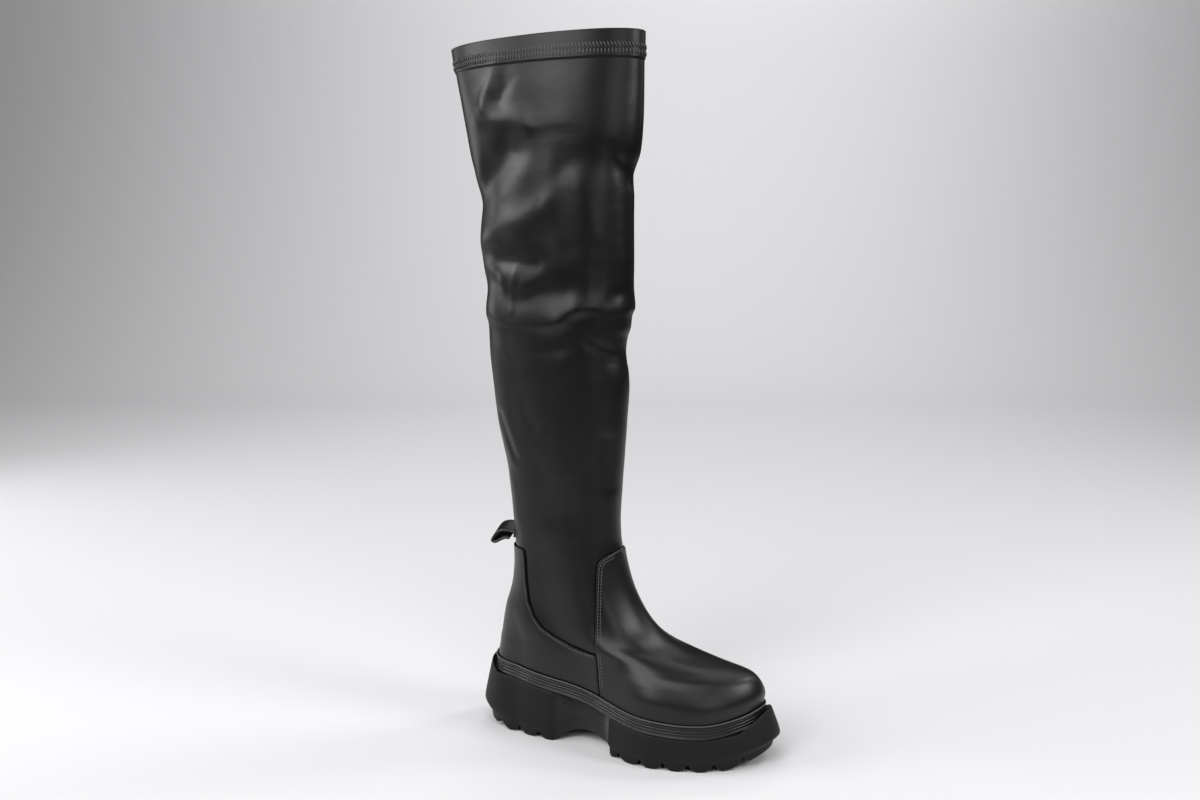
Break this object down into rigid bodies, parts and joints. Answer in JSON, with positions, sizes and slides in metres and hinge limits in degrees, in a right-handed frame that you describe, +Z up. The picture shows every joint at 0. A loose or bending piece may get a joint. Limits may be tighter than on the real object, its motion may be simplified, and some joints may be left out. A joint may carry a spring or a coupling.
{
  "type": "over-the-knee stretch boot",
  "caption": "Black right over-the-knee stretch boot with smooth leather vamp and counter, rear pull loop, ribbed rand and chunky lug sole.",
  "frame": {"origin": "on the floor, on the flat lug under the heel's centre", "axes": "+X towards the toe, +Y towards the inner side of the foot, +Z up the shaft"},
  "size_m": [0.3129, 0.1079, 0.6246],
  "materials": {
    "lug_rubber": "matte",
    "rand_rubber": "satin",
    "insole_lining": "matte",
    "stretch_leather": "soft satin",
    "panel_leather": "semi-gloss"
  },
  "bodies": {
    "root": {"outsole": "lug_rubber", "ribbed_rand": "rand_rubber", "insole": "insole_lining", "upper": "stretch_leather", "vamp": "panel_leather", "counter": "panel_leather", "pull_loop": "panel_leather"}
  },
  "joints": []
}
